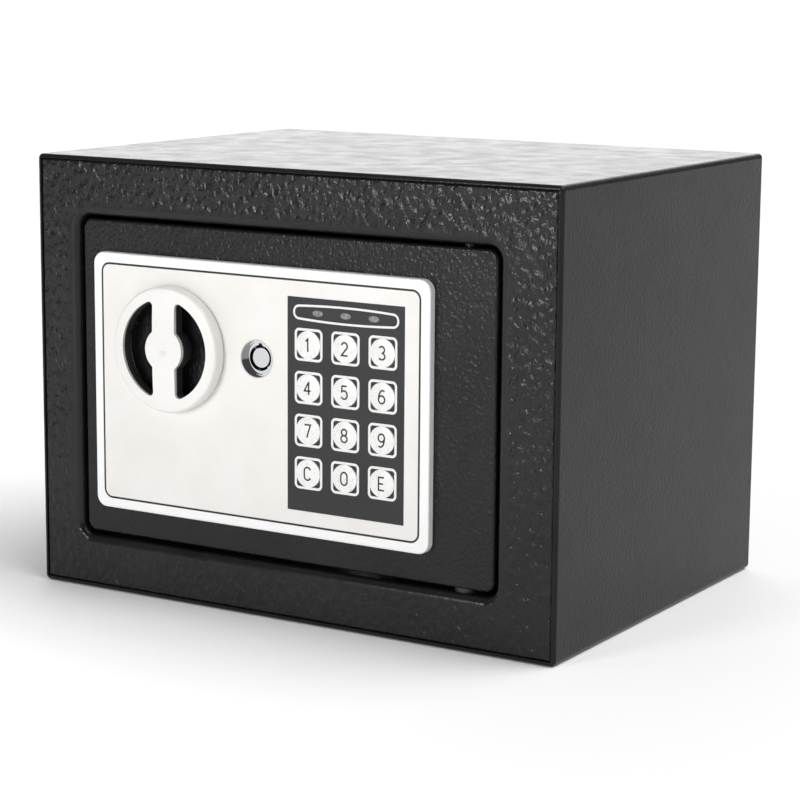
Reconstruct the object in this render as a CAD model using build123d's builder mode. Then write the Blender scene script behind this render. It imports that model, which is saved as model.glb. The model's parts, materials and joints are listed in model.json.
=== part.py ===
"""Small electronic home safe: folded steel body, hinged door, knob-thrown bolts, keypad and key lock.

Millimetres. X runs to the right as seen from the front, Y to the back, Z up.
The origin is the middle of the underside of the body. The door is shut and its bolts are drawn in.
"""

from build123d import *
import math
import os

# ---------------------------------------------------------------- driving dimensions

# body
body_w = 230.0
body_d = 170.0
body_h = 170.0
shell_t = 1.6
shell_bend_r = 2.0
shell_edge_r = 1.4
back_t = 2.0
anchor_pitch = 140.0
anchor_hole_d = 10.0
mat_t = 2.5
mat_gap = 1.5
mat_hole_d = 24.0

# front frame and its door opening
frame_t = 2.0
frame_set_back = 0.2
frame_edge_r = 1.2
margin_left = 19.1
margin_right = 24.6
margin_top = 22.7
margin_bottom = 21.0
opening_r = 5.0
opening_roll_r = 3.2
return_depth = 12.0

# door plate and hinge
door_recess = 2.0
door_t = 3.0
door_r = 4.0
door_edge_r = 1.2
door_gap_side = 1.4
door_gap_top = 1.3
door_gap_bottom = 1.7
pin_d = 5.0
pin_inset = 14.0
pin_stand_off = 0.2
pin_proud = 0.5
lug_w = 10.0
lug_h = 20.0
lug_wall = 2.2
lug_below_top = 2.0
bracket_w = 20.0
bracket_t = 3.0
spacer_d = 9.0
spacer_clear = 0.15

# facia
facia_w = 150.7
facia_h = 100.0
facia_t = 3.1
facia_wall = 1.6
facia_r = 4.5
facia_edge_r = 0.6
facia_from_left = 7.3
facia_from_bottom = 11.15
groove_inset = 3.75
groove_w = 0.8
groove_deep = 0.3
peg_d = 3.0
peg_boss_d = 6.0
peg_proud = 2.5
peg_from_left = 20.0
peg_from_edge = 5.5
peg_right_inset = 5.2
peg_right_spread = 24.0
clip_d = 9.0
clip_t = 0.6

# keypad
panel_w = 50.5
panel_h = 80.0
panel_from_right = 10.4
panel_from_bottom = 9.75
panel_set_back = 0.1
key_pitch = 16.0
key_rows_from_top = 17.5
key_d = 10.4
key_clear = 0.15
key_proud = 0.8
key_edge_proud = 0.4
key_travel = 0.5
lens_w = 4.5
lens_h = 2.2
lens_pitch = 12.1
lens_from_top = 5.6
board_lap = 1.8
spacer_sheet_t = 0.4
keypad_board_t = 1.0
dome_d = 6.0
dome_t = 0.35
ribbon_w = 12.0
ribbon_t = 0.3
ribbon_up = 8.5
slot_h = 5.0

# knob and its drive
knob_from_left = 37.2
knob_from_bottom = 65.4
knob_d = 48.0
knob_rise = 5.3
knob_crown = 0.7
knob_edge_r = 1.2
knob_wall = 1.2
knob_cap_t = 0.9
knob_gap = 0.3
knob_well_d = 44.0
recess_d = 38.8
recess_tip_r = 1.7
recess_inset = 0.15
bar_w = 10.2
boss_d = 16.8
junction_r = 0.8
core_wall_d = 4.6
hub_d = 14.5
spindle_d = 8.0
spindle_end_d = 6.0
spindle_in_hub = 5.0
bush_d = 12.0
bush_flange_d = 16.0
bush_flange_t = 1.2
crank_t = 2.0
crank_r = 9.2
crank_hub_d = 16.0
crank_pin_d = 4.0
crank_pin_past = 1.5
crank_gap = 2.0

# bolts, carriage and their guides
bolt_d = 14.0
bolt_pitch = 55.0
bolt_clear = 1.0
bolt_tip_inset = 3.5
bolt_tip_chamfer = 1.2
bolt_len = 20.0
bolt_spigot_d = 8.0
guide_t = 2.0
guide_inset = 4.5
guide_foot = 4.0
guide_lap = 7.0
carriage_t = 2.0
carriage_bar_w = 10.0
carriage_lap = 2.0
slot_clear = 0.45
arm_top_above_knob = 19.2
arm_bottom_below_knob = 6.3
arm_right_of_knob = 30.0
tongue_right_of_knob = 34.5
tongue_h = 11.0
post_right_of_knob = 16.0
post_neck_d = 5.0
post_d = 9.0
post_head_t = 1.5
post_gap = 0.3

# solenoid latch
plunger_right_of_knob = 20.0
plunger_d = 6.0
plunger_throw = 3.6
plunger_top_gap = 0.4
plunger_arm_gap = 0.5
tooth_w = 6.0
tooth_tip_w = 0.6
tooth_side_gap = 0.5
collar_d = 9.0
collar_t = 1.0
collar_below_top = 5.9
cross_pin_d = 2.5
cross_pin_below_top = 3.4
coil_d = 16.0
coil_h = 25.0
solenoid_sheet = 1.5
solenoid_w = 20.0
spring_len = 6.0
spring_wire = 0.7
spring_turns = 4

# key lock
lock_right_of_knob = 38.8
lock_below_knob = 0.4
cup_d = 14.4
cup_mouth_d = 13.8
cup_step_depth = 1.7
cup_bore_d = 12.3
barrel_d = 12.0
barrel_flange_d = 13.6
barrel_flange_t = 0.6
barrel_len = 21.0
barrel_end_t = 2.5
keyway_d = 9.7
keyway_depth = 6.6
post_face_d = 7.4
post_face_recess = 0.5
lock_pin_d = 0.9
lock_pin_len = 4.0
lock_pin_count = 7
key_notch_w = 1.6
key_notch_depth = 0.7
nut_across = 16.0
nut_t = 4.0
tail_d = 6.0
cam_t = 2.0
cam_w = 8.0
cam_past_pin = 1.5
cam_clear = 0.3
cam_behind_carriage = 6.5

# lock cover, batteries and board
cover_t = 1.5
cover_behind_bolts = 6.0
cover_below = 10.3
cover_above = 9.0
cover_hinge_gap = 4.0
cover_bolt_clear = 0.5
cover_post_d = 7.0
cover_post_inset = 7.0
screw_d = 3.0
screw_head_d = 6.0
screw_head_t = 1.8
screw_len = 10.0
cell_d = 14.5
cell_len = 50.5
cell_gap = 0.5
cell_count = 4
nub_d = 5.5
nub_len = 1.0
contact_d = 8.0
contact_t = 1.0
tray_t = 1.2
tray_right_of_lock = 8.2
tray_above_cover = 12.0
lid_lap = 1.5
lid_side_lap = 3.0
lid_t = 1.5
lid_clear = 0.3
lid_travel = 8.0
rail_t = 1.5
rail_lip = 1.4
reset_from_board_side = 3.0
reset_from_board_top = 9.0
reset_d = 9.0
reset_flange_d = 12.0
reset_stem_d = 4.0
reset_travel = 1.0
reset_proud = 1.5
switch_w = 6.0
switch_h = 3.0
switch_nub_h = 0.8
control_w = 49.0
control_h = 63.0
control_t = 1.6
control_stand_off = 2.5
control_above_cover = 29.0
standoff_d = 5.0
standoff_inset = 4.0
lead_d = 1.4
lead_pitch = 3.0

# fits
run_clear = 0.06
fit_clear = 0.1

# ---------------------------------------------------------------- places that follow

body_front = -body_d / 2
body_back = body_d / 2
inside_w = body_w - 2 * shell_t
inside_h = body_h - 2 * shell_t
inside_r = shell_bend_r - shell_t
frame_front = body_front + frame_set_back
frame_back = body_front + return_depth

open_x0 = -body_w / 2 + margin_left
open_x1 = body_w / 2 - margin_right
open_z0 = margin_bottom
open_z1 = body_h - margin_top
open_w = open_x1 - open_x0
open_h = open_z1 - open_z0
open_center = ((open_x0 + open_x1) / 2, (open_z0 + open_z1) / 2)

door_x0 = open_x0 + door_gap_side
door_x1 = open_x1 - door_gap_side
door_z0 = open_z0 + door_gap_bottom
door_z1 = open_z1 - door_gap_top
door_front = body_front + door_recess
door_back = door_front + door_t
hinge_x = door_x1 - pin_inset
hinge_y = door_back + pin_d / 2 + pin_stand_off
hinge_low_z = open_z0 - frame_t - bracket_t
hinge_high_z = open_z1 + frame_t + bracket_t

facia_front = door_front - facia_t
facia_inner = facia_front + facia_wall
facia_x0 = door_x0 + facia_from_left
facia_x1 = facia_x0 + facia_w
facia_z0 = door_z0 + facia_from_bottom
facia_z1 = facia_z0 + facia_h
facia_center = (facia_x0 + facia_w / 2, facia_z0 + facia_h / 2)

panel_x = facia_x1 - panel_from_right - panel_w / 2
panel_z0 = facia_z0 + panel_from_bottom
panel_z = panel_z0 + panel_h / 2
panel_front = facia_front + panel_set_back
lens_z = panel_z0 + panel_h - lens_from_top
keypad_board_front = facia_inner + spacer_sheet_t
keypad_board_back = keypad_board_front + keypad_board_t
ribbon_z = panel_z0 + ribbon_up

knob_x = facia_x0 + knob_from_left
knob_z = facia_z0 + knob_from_bottom
knob_front = facia_front - knob_rise
lock_x = knob_x + lock_right_of_knob
lock_z = knob_z - lock_below_knob

bolt_y = frame_back + bolt_clear + bolt_d / 2
bolt_z = (door_z0 + door_z1) / 2
bolt_tip_x = door_x0 + bolt_tip_inset
carriage_x0 = bolt_tip_x + bolt_len
carriage_front = bolt_y - carriage_t / 2
carriage_back = bolt_y + carriage_t / 2
crank_back = carriage_front - crank_gap
crank_front = crank_back - crank_t
crank_dx = crank_r * math.sin(math.radians(45))
bolt_throw = 2 * crank_dx
arm_z0 = knob_z - arm_bottom_below_knob
arm_z1 = knob_z + arm_top_above_knob
guide_x0 = door_x0 + guide_inset
guide_x1 = guide_x0 + guide_t
guide_back = bolt_y + bolt_d / 2 + guide_t

plunger_x = knob_x + plunger_right_of_knob
tooth_h = plunger_throw + plunger_arm_gap - plunger_top_gap
tooth_z0 = arm_z0 - tooth_h
plunger_top = tooth_z0 - plunger_top_gap
collar_z = plunger_top - collar_below_top
spring_z0 = collar_z - spring_len
coil_z1 = spring_z0 - solenoid_sheet
coil_z0 = coil_z1 - coil_h
cross_pin_z = plunger_top - cross_pin_below_top

cam_front = carriage_back + cam_behind_carriage
cam_back = cam_front + cam_t
barrel_front = door_front - barrel_flange_t
barrel_back = door_front + barrel_len

cover_inner = bolt_y + bolt_d / 2 + cover_behind_bolts
cover_outer = cover_inner + cover_t
cover_x0 = guide_x1 + fit_clear
cover_x1 = hinge_x - lug_w / 2 - cover_hinge_gap
cover_z0 = door_z0 + cover_below
cover_z1 = door_z1 - cover_above
cover_w = cover_x1 - cover_x0
cover_h = cover_z1 - cover_z0
cover_center = (cover_x0 + cover_w / 2, cover_z0 + cover_h / 2)
cover_corner_points = [
    (x, z)
    for x in (cover_x0 + cover_post_inset, cover_x1 - cover_post_inset)
    for z in (cover_z0 + cover_post_inset, cover_z1 - cover_post_inset)
]

cell_pitch = cell_d + cell_gap
bay_w = cell_count * cell_pitch
bay_h = cell_len + 2 * contact_t
tray_x0 = lock_x + tray_right_of_lock
tray_z0 = cover_z0 + tray_above_cover
tray_center = (tray_x0 + tray_t + bay_w / 2, tray_z0 + tray_t + bay_h / 2)
tray_z1 = tray_z0 + 2 * tray_t + bay_h
tray_front = cover_inner - cell_d - fit_clear - tray_t
cell_y = cover_inner - fit_clear / 2 - cell_d / 2

control_front = door_back + control_stand_off
control_back = control_front + control_t
control_x = panel_x
control_z = cover_z0 + control_above_cover + control_h / 2
reset_x = control_x + control_w / 2 - reset_from_board_side
reset_z = control_z + control_h / 2 - reset_from_board_top
switch_back = control_back + switch_h

key_names = [["1", "2", "3"], ["4", "5", "6"], ["7", "8", "9"], ["c", "0", "e"]]
key_centers = {
    name: (
        panel_x + (column - 1) * key_pitch,
        panel_z0 + panel_h - key_rows_from_top - row * key_pitch,
    )
    for row, names in enumerate(key_names)
    for column, name in enumerate(names)
}
lens_points = [(panel_x + i * lens_pitch, lens_z) for i in (-1, 0, 1)]

peg_points = [
    (facia_x0 + peg_from_left, facia_z0 + peg_from_edge),
    (facia_x0 + peg_from_left, facia_z1 - peg_from_edge),
    (facia_x1 - peg_right_inset, panel_z - peg_right_spread),
    (facia_x1 - peg_right_inset, panel_z + peg_right_spread),
]
standoff_points = [
    (control_x + i * (control_w / 2 - standoff_inset), control_z + j * (control_h / 2 - standoff_inset))
    for i in (-1, 1)
    for j in (-1, 1)
]


def facing(y):
    """The plane at depth y whose sketches read x right and z up from the front; it extrudes frontward."""
    return Plane.XZ.offset(-y)


def crown_arc(axis_x, top, edge, reach):
    """The arc of a crowned front, from its top on the axis out to its edge, centred on that axis."""
    rise = edge - top
    crown_r = (reach**2 + rise**2) / (2 * rise)
    span = math.degrees(math.asin(reach / crown_r))
    return CenterArc((axis_x, top + crown_r), crown_r, -90, span)


def save(piece, name):
    """Label a finished piece and write its STEP file."""
    piece.part.label = name
    export_step(piece.part, f"parts/{name}.step")


os.makedirs("parts", exist_ok=True)

# ---------------------------------------------------------------- body

# Folded wrap: top, base and both sides in one sheet, open at the front and the back.
with BuildPart() as body_shell:
    with BuildSketch(facing(body_back)):
        with Locations((0, body_h / 2)):
            RectangleRounded(body_w, body_h, shell_bend_r)
            RectangleRounded(inside_w, inside_h, inside_r, mode=Mode.SUBTRACT)
    extrude(amount=body_d)
    front_rim = body_shell.faces().sort_by(Axis.Y)[0]
    fillet(front_rim.outer_wire().edges(), shell_edge_r)
    with BuildSketch(Plane.XY):
        with GridLocations(anchor_pitch, 0, 2, 1):
            Circle(anchor_hole_d / 2)
    extrude(amount=shell_t, mode=Mode.SUBTRACT)
save(body_shell, "body_shell")

# Back plate, flush with the wrap's back edge.
with BuildPart() as back_panel:
    with BuildSketch(facing(body_back)):
        with Locations((0, body_h / 2)):
            RectangleRounded(inside_w, inside_h, inside_r)
        with Locations((0, body_h / 2)):
            with GridLocations(anchor_pitch, 0, 2, 1):
                Circle(anchor_hole_d / 2, mode=Mode.SUBTRACT)
    extrude(amount=back_t)
save(back_panel, "back_panel")

# Front frame: a plate with a return all round its outside and another round the opening.
with BuildPart() as front_frame:
    with BuildSketch(facing(frame_back)):
        with Locations((0, body_h / 2)):
            RectangleRounded(inside_w, inside_h, inside_r)
        with Locations(open_center):
            RectangleRounded(open_w, open_h, opening_r, mode=Mode.SUBTRACT)
    extrude(amount=frame_back - frame_front)
    with BuildSketch(facing(frame_back)):
        with Locations((0, body_h / 2)):
            Rectangle(inside_w - 2 * frame_t, inside_h - 2 * frame_t)
        with Locations(open_center):
            RectangleRounded(
                open_w + 2 * frame_t, open_h + 2 * frame_t, opening_r + frame_t, mode=Mode.SUBTRACT
            )
    extrude(amount=frame_back - frame_front - frame_t, mode=Mode.SUBTRACT)
    front_face = front_frame.faces().sort_by(Axis.Y)[0]
    fillet(front_face.outer_wire().edges(), frame_edge_r)
    front_face = front_frame.faces().filter_by(Axis.Y).sort_by(Axis.Y)[0]
    fillet(front_face.inner_wires().edges(), opening_roll_r)
    with BuildSketch(Plane.XY.offset(open_z0 - frame_t)):
        with Locations((hinge_x, hinge_y)):
            Circle(pin_d / 2 + run_clear)
    extrude(amount=open_h + 2 * frame_t, mode=Mode.SUBTRACT)
save(front_frame, "front_frame")

# Drilled hinge plates on the outside of the opening's top and bottom returns.
with BuildPart() as hinge_brackets:
    for z in (hinge_low_z, open_z1 + frame_t):
        with BuildSketch(Plane.XY.offset(z)):
            with Locations((hinge_x, (frame_front + frame_t + frame_back) / 2)):
                Rectangle(bracket_w, frame_back - frame_front - frame_t)
            with Locations((hinge_x, hinge_y)):
                Circle(pin_d / 2 + run_clear, mode=Mode.SUBTRACT)
        extrude(amount=bracket_t)
save(hinge_brackets, "hinge_brackets")

with BuildPart() as hinge_spacer:
    with BuildSketch(Plane.XY.offset(open_z0)):
        with Locations((hinge_x, hinge_y)):
            Circle(spacer_d / 2)
            Circle(pin_d / 2 + run_clear, mode=Mode.SUBTRACT)
    extrude(amount=door_gap_bottom - spacer_clear)
save(hinge_spacer, "hinge_spacer")

mat_y0 = frame_back + mat_gap
mat_y1 = body_back - back_t - mat_gap
with BuildPart() as floor_mat:
    with BuildSketch(Plane.XY.offset(shell_t)):
        with Locations((0, (mat_y0 + mat_y1) / 2)):
            RectangleRounded(inside_w - 2 * mat_gap, mat_y1 - mat_y0, mat_t)
        with GridLocations(anchor_pitch, 0, 2, 1):
            Circle(mat_hole_d / 2, mode=Mode.SUBTRACT)
    extrude(amount=mat_t)
save(floor_mat, "floor_mat")

# ---------------------------------------------------------------- door plate and hinge

with BuildPart() as door_plate:
    with BuildSketch(facing(door_back)):
        with Locations(((door_x0 + door_x1) / 2, (door_z0 + door_z1) / 2)):
            RectangleRounded(door_x1 - door_x0, door_z1 - door_z0, door_r)
    extrude(amount=door_t)
    fillet(door_plate.faces().sort_by(Axis.Y)[0].edges(), door_edge_r)
    with BuildSketch(facing(door_back)):
        with Locations((knob_x, knob_z)):
            Circle(bush_d / 2 + fit_clear)
        with Locations((lock_x, lock_z)):
            Circle(barrel_d / 2 + fit_clear)
        with Locations(*peg_points):
            Circle(peg_d / 2 + fit_clear)
        with Locations((panel_x, ribbon_z)):
            Rectangle(ribbon_w + 2, slot_h)
    extrude(amount=door_t, mode=Mode.SUBTRACT)
save(door_plate, "door_plate")

lug_back = hinge_y + pin_d / 2 + lug_wall
with BuildPart() as hinge_lugs:
    for z in (door_z0, door_z1 - lug_below_top - lug_h):
        with BuildSketch(Plane.XY.offset(z)):
            with Locations((hinge_x, (door_back + lug_back) / 2)):
                Rectangle(lug_w, lug_back - door_back)
            with Locations((hinge_x, hinge_y)):
                Circle(pin_d / 2 + run_clear / 2, mode=Mode.SUBTRACT)
        extrude(amount=lug_h)
save(hinge_lugs, "hinge_lugs")

with BuildPart() as hinge_pins:
    with BuildSketch(Plane.XY.offset(hinge_low_z - pin_proud)):
        with Locations((hinge_x, hinge_y)):
            Circle(pin_d / 2)
    extrude(amount=door_z0 + lug_h - hinge_low_z + pin_proud)
    with BuildSketch(Plane.XY.offset(door_z1 - lug_below_top - lug_h)):
        with Locations((hinge_x, hinge_y)):
            Circle(pin_d / 2)
    extrude(amount=hinge_high_z + pin_proud - door_z1 + lug_below_top + lug_h)
save(hinge_pins, "hinge_pins")

# ---------------------------------------------------------------- facia

with BuildPart() as facia:
    with BuildSketch(facing(door_front)):
        with Locations(facia_center):
            RectangleRounded(facia_w, facia_h, facia_r)
    extrude(amount=facia_t)
    fillet(facia.faces().sort_by(Axis.Y)[0].edges(), facia_edge_r)
    # hollow back, with full-depth bosses round the knob, the key lock and the pegs
    with BuildSketch(facing(door_front)):
        with Locations(facia_center):
            RectangleRounded(facia_w - 2 * facia_wall, facia_h - 2 * facia_wall, facia_r - facia_wall)
        with Locations((knob_x, knob_z)):
            Circle(knob_well_d / 2 + facia_wall, mode=Mode.SUBTRACT)
        with Locations((lock_x, lock_z)):
            Circle(cup_d / 2 + facia_wall, mode=Mode.SUBTRACT)
        with Locations(*peg_points):
            Circle(peg_boss_d / 2, mode=Mode.SUBTRACT)
    extrude(amount=facia_t - facia_wall, mode=Mode.SUBTRACT)
    with BuildSketch(facing(door_front)):
        with Locations((knob_x, knob_z)):
            Circle(knob_well_d / 2)
        with Locations((lock_x, lock_z)):
            Circle(cup_d / 2 + fit_clear)
        with Locations((panel_x, panel_z)):
            Rectangle(panel_w, panel_h)
    extrude(amount=facia_t, mode=Mode.SUBTRACT)
    # border line cut into the front
    groove_r = facia_r - groove_w
    with BuildSketch(facing(facia_front + groove_deep)):
        with Locations(facia_center):
            RectangleRounded(facia_w - 2 * groove_inset, facia_h - 2 * groove_inset, groove_r)
            RectangleRounded(
                facia_w - 2 * groove_inset - 2 * groove_w,
                facia_h - 2 * groove_inset - 2 * groove_w,
                groove_r - groove_w,
                mode=Mode.SUBTRACT,
            )
    extrude(amount=groove_deep, mode=Mode.SUBTRACT)
    # pegs that pass through the door
    with BuildSketch(facing(door_back + peg_proud)):
        with Locations(*peg_points):
            Circle(peg_d / 2)
    extrude(amount=door_t + peg_proud)
save(facia, "facia")

with BuildPart() as facia_clips:
    with BuildSketch(facing(door_back + clip_t)):
        with Locations(*peg_points):
            Circle(clip_d / 2)
            Circle(peg_d / 2, mode=Mode.SUBTRACT)
    extrude(amount=clip_t)
save(facia_clips, "facia_clips")

# ---------------------------------------------------------------- keypad

with BuildPart() as keypad_panel:
    with BuildSketch(facing(facia_inner)):
        with Locations((panel_x, panel_z)):
            Rectangle(panel_w - 2 * fit_clear, panel_h - 2 * fit_clear)
        with Locations(*key_centers.values()):
            Circle(key_d / 2 + key_clear, mode=Mode.SUBTRACT)
        with Locations(*lens_points):
            Ellipse(lens_w / 2, lens_h / 2, mode=Mode.SUBTRACT)
    extrude(amount=facia_inner - panel_front)
save(keypad_panel, "keypad_panel")

with BuildPart() as indicator_lenses:
    with BuildSketch(facing(facia_inner)):
        with Locations(*lens_points):
            Ellipse(lens_w / 2, lens_h / 2)
    extrude(amount=facia_inner - panel_front)
save(indicator_lenses, "indicator_lenses")

with BuildPart() as keypad_spacer:
    with BuildSketch(facing(keypad_board_front)):
        with Locations((panel_x, panel_z)):
            Rectangle(panel_w + 2 * board_lap, panel_h + 2 * board_lap)
        with Locations(*key_centers.values()):
            Circle(dome_d / 2 + key_clear, mode=Mode.SUBTRACT)
    extrude(amount=spacer_sheet_t)
save(keypad_spacer, "keypad_spacer")

with BuildPart() as key_domes:
    with BuildSketch(facing(keypad_board_front)):
        with Locations(*key_centers.values()):
            Circle(dome_d / 2)
    extrude(amount=dome_t)
save(key_domes, "key_domes")

with BuildPart() as keypad_board:
    with BuildSketch(facing(keypad_board_back)):
        with Locations((panel_x, panel_z)):
            Rectangle(panel_w + 2 * board_lap, panel_h + 2 * board_lap)
    extrude(amount=keypad_board_t)
save(keypad_board, "keypad_board")

# Key caps: a shallow dome on a short round stem.
key_base = facia_inner - key_travel
key_top = panel_front - key_proud
key_edge = panel_front - key_edge_proud


def make_key(name, center):
    """One key cap at its place in the panel."""
    x, z = center
    with BuildPart() as key:
        with BuildSketch(Plane.XY.offset(z)):
            with BuildLine():
                crown_arc(x, key_top, key_edge, key_d / 2)
                Polyline((x + key_d / 2, key_edge), (x + key_d / 2, key_base), (x, key_base), (x, key_top))
            make_face()
        revolve(axis=Axis((x, 0, z), (0, 1, 0)))
    save(key, f"key_{name}")


for name, center in key_centers.items():
    make_key(name, center)

# Flat ribbon from the keypad board, through the slot in the door, up to the control board.
ribbon_back = control_front - ribbon_t * 4
ribbon_top = control_z - control_h / 2 + ribbon_w
with BuildPart() as keypad_ribbon:
    with BuildSketch(Plane.YZ.offset(panel_x - ribbon_w / 2)):
        with BuildLine():
            Polyline(
                (keypad_board_back, ribbon_z),
                (ribbon_back, ribbon_z),
                (ribbon_back, ribbon_top),
                (control_front, ribbon_top),
                (control_front, ribbon_top - ribbon_w / 3),
                (ribbon_back + ribbon_t, ribbon_top - ribbon_w / 3),
                (ribbon_back + ribbon_t, ribbon_z - ribbon_t),
                (keypad_board_back, ribbon_z - ribbon_t),
                close=True,
            )
        make_face()
    extrude(amount=ribbon_w)
save(keypad_ribbon, "keypad_ribbon")

# ---------------------------------------------------------------- knob and crank


def recess_outline(inset):
    """The two finger recesses either side of the grip bar, drawn in by an inset."""
    with BuildSketch() as outline:
        Circle(recess_d / 2 - inset)
        Rectangle(bar_w + 2 * inset, recess_d, mode=Mode.SUBTRACT)
        Circle(boss_d / 2 + inset, mode=Mode.SUBTRACT)
        tips = outline.vertices().group_by(lambda v: round(abs(v.Y), 1))[-1]
        fillet(tips, recess_tip_r)
        junctions = outline.vertices().filter_by(
            lambda v: abs(math.hypot(v.X, v.Y) - boss_d / 2 - inset) < run_clear
        )
        fillet(junctions, junction_r)
    return outline.sketch


knob_cap_back = knob_front + knob_cap_t
knob_skirt_back = facia_front - knob_gap
knob_axis = Axis((knob_x, 0, knob_z), (0, 1, 0))

# Silver cap: crowned front, skirt down to just clear of the facia.
with BuildPart() as knob_face:
    with BuildSketch(Plane.XY.offset(knob_z)):
        with BuildLine():
            rim_x = knob_x + knob_d / 2
            Line((knob_x, knob_cap_back), (knob_x, knob_front - knob_crown))
            crown_arc(knob_x, knob_front - knob_crown, knob_front, knob_d / 2 - knob_edge_r)
            RadiusArc((rim_x - knob_edge_r, knob_front), (rim_x, knob_front + knob_edge_r), -knob_edge_r)
            Polyline(
                (rim_x, knob_front + knob_edge_r),
                (rim_x, knob_skirt_back),
                (rim_x - knob_wall, knob_skirt_back),
                (rim_x - knob_wall, knob_cap_back),
                (knob_x, knob_cap_back),
            )
        make_face()
    revolve(axis=knob_axis)
    with BuildSketch(facing(knob_cap_back)):
        with Locations((knob_x, knob_z)):
            add(recess_outline(0))
    extrude(amount=knob_cap_t + knob_crown, mode=Mode.SUBTRACT)
save(knob_face, "knob_face")

# Black core: the recess walls and the hub that reaches down to the door.
with BuildPart() as knob_core:
    with BuildSketch(facing(knob_cap_back + core_wall_d - knob_cap_t)):
        with Locations((knob_x, knob_z)):
            Circle(knob_d / 2 - knob_wall - run_clear)
            add(recess_outline(recess_inset), mode=Mode.SUBTRACT)
    extrude(amount=core_wall_d - knob_cap_t)
    with BuildSketch(facing(door_front - knob_gap)):
        with Locations((knob_x, knob_z)):
            Circle(hub_d / 2)
    extrude(amount=door_front - knob_gap - knob_cap_back)
    with BuildSketch(facing(door_front - knob_gap)):
        with Locations((knob_x, knob_z)):
            Circle(spindle_d / 2)
    extrude(amount=spindle_in_hub, mode=Mode.SUBTRACT)
save(knob_core, "knob_core")

with BuildPart() as knob_spindle:
    with BuildSketch(facing(crank_front)):
        with Locations((knob_x, knob_z)):
            Circle(spindle_d / 2)
    extrude(amount=crank_front - door_front + knob_gap + spindle_in_hub)
    with BuildSketch(facing(crank_back)):
        with Locations((knob_x, knob_z)):
            Circle(spindle_end_d / 2)
    extrude(amount=crank_t)
save(knob_spindle, "knob_spindle")

with BuildPart() as spindle_bush:
    with BuildSketch(facing(door_back + bush_flange_t)):
        with Locations((knob_x, knob_z)):
            Circle(bush_flange_d / 2)
            Circle(spindle_d / 2 + run_clear, mode=Mode.SUBTRACT)
    extrude(amount=bush_flange_t)
    with BuildSketch(facing(door_back)):
        with Locations((knob_x, knob_z)):
            Circle(bush_d / 2)
            Circle(spindle_d / 2 + run_clear, mode=Mode.SUBTRACT)
    extrude(amount=door_t)
save(spindle_bush, "spindle_bush")

# Crank: its pin stands 45 degrees right of top and swings to 45 degrees left of top.
with BuildPart() as crank:
    with BuildSketch(facing(crank_back)):
        with Locations((knob_x, knob_z)):
            Circle(crank_hub_d / 2)
        with BuildSketch(mode=Mode.ADD):
            with Locations((knob_x, knob_z)):
                with Locations(Location((crank_dx / 2, crank_dx / 2), 45)):
                    SlotCenterToCenter(crank_r, 2 * crank_pin_d)
        with Locations((knob_x, knob_z)):
            Circle(spindle_end_d / 2, mode=Mode.SUBTRACT)
    extrude(amount=crank_t)
    with BuildSketch(facing(carriage_back + crank_pin_past)):
        with Locations((knob_x + crank_dx, knob_z + crank_dx)):
            Circle(crank_pin_d / 2)
    extrude(amount=carriage_back + crank_pin_past - crank_back)
save(crank, "crank")

# ---------------------------------------------------------------- bolts

bolt_zs = (bolt_z - bolt_pitch / 2, bolt_z + bolt_pitch / 2)

with BuildPart() as locking_bolts:
    for z in bolt_zs:
        with BuildSketch(Plane.YZ.offset(bolt_tip_x)):
            with Locations((bolt_y, z)):
                Circle(bolt_d / 2)
        extrude(amount=bolt_len)
        with BuildSketch(Plane.YZ.offset(carriage_x0)):
            with Locations((bolt_y, z)):
                Circle(bolt_spigot_d / 2)
        extrude(amount=carriage_t)
    chamfer(locking_bolts.faces().group_by(Axis.X)[0].edges(), bolt_tip_chamfer)
save(locking_bolts, "locking_bolts")

# Carriage: a bar that carries both bolts, and an arm with the crank slot and a guide slot.
carriage_z0 = bolt_zs[0] - bolt_d / 2 - carriage_lap
carriage_z1 = bolt_zs[1] + bolt_d / 2 + carriage_lap
bar_x1 = carriage_x0 + carriage_bar_w
arm_x1 = knob_x + arm_right_of_knob
tongue_x1 = knob_x + tongue_right_of_knob
post_x = knob_x + post_right_of_knob
post_z = arm_z1 - tongue_h / 2
crank_slot_w = crank_pin_d + 2 * slot_clear
crank_slot_h = crank_r - crank_dx + crank_slot_w
with BuildPart() as bolt_carriage:
    with BuildSketch(facing(carriage_back)):
        with BuildLine():
            Polyline(
                (carriage_x0, carriage_z0),
                (bar_x1, carriage_z0),
                (bar_x1, arm_z0),
                (arm_x1, arm_z0),
                (arm_x1, arm_z1 - tongue_h),
                (tongue_x1, arm_z1 - tongue_h),
                (tongue_x1, arm_z1),
                (bar_x1, arm_z1),
                (bar_x1, carriage_z1),
                (carriage_x0, carriage_z1),
                close=True,
            )
        make_face()
        with Locations((knob_x + crank_dx, knob_z + (crank_dx + crank_r) / 2)):
            SlotOverall(crank_slot_h, crank_slot_w, rotation=90, mode=Mode.SUBTRACT)
        with Locations((post_x + bolt_throw / 2, post_z)):
            SlotOverall(
                bolt_throw + post_neck_d + 2 * slot_clear,
                post_neck_d + 2 * slot_clear,
                mode=Mode.SUBTRACT,
            )
    extrude(amount=carriage_t)
    with BuildSketch(Plane.YZ.offset(carriage_x0)):
        with Locations((bolt_y, (carriage_z0 + carriage_z1) / 2)):
            Rectangle(bolt_d, carriage_z1 - carriage_z0)
    extrude(amount=carriage_t)
    with BuildSketch(Plane.YZ.offset(carriage_x0)):
        with Locations(*[(bolt_y, z) for z in bolt_zs]):
            Circle(bolt_spigot_d / 2)
    extrude(amount=carriage_t, mode=Mode.SUBTRACT)
save(bolt_carriage, "bolt_carriage")

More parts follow.
